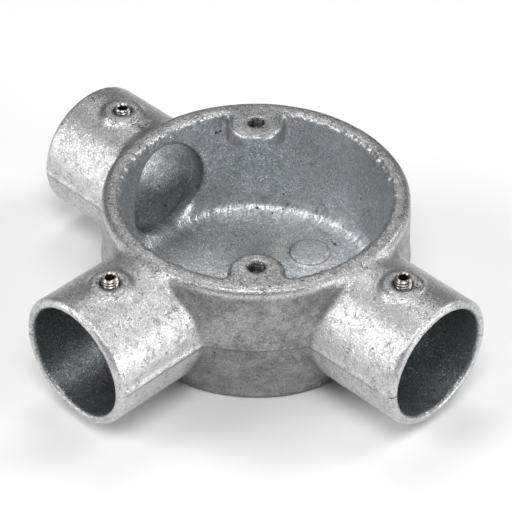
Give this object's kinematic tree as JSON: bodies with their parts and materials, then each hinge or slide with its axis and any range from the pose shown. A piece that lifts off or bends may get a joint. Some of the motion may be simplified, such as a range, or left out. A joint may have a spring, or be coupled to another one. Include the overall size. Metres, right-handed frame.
{
  "type": "conduit tee box",
  "caption": "Round cast-iron conduit box tee with slip-in tube sockets, each clamped by a hex-socket grub screw, an open bowl and drilled lid lugs at the rim.",
  "frame": {"origin": "centre of the flat base, on the box axis", "axes": "+Z out of the open mouth along the box axis, X along the straight run of tube with +X out of the right-hand socket, -Y out of the branch socket"},
  "size_m": [0.108, 0.0882, 0.0346],
  "materials": {
    "cast_iron": "hot-dip galvanised, fine grained",
    "screw_steel": "dull, lightly browned"
  },
  "bodies": {
    "box": {"box_casting": "cast_iron"},
    "screw_right": {"clamp_screw_right": "screw_steel"},
    "screw_left": {"clamp_screw_left": "screw_steel"},
    "screw_branch": {"clamp_screw_branch": "screw_steel"}
  },
  "joints": [
    {"name": "screw_right_travel", "type": "slide", "parent": "box", "child": "screw_right", "axis": [0, 0, 1], "range_m": [-0.002, 0.0014]},
    {"name": "screw_left_travel", "type": "slide", "parent": "box", "child": "screw_left", "axis": [0, 0, 1], "range_m": [-0.002, 0.0014]},
    {"name": "screw_branch_travel", "type": "slide", "parent": "box", "child": "screw_branch", "axis": [0, 0, 1], "range_m": [-0.002, 0.0014]}
  ]
}
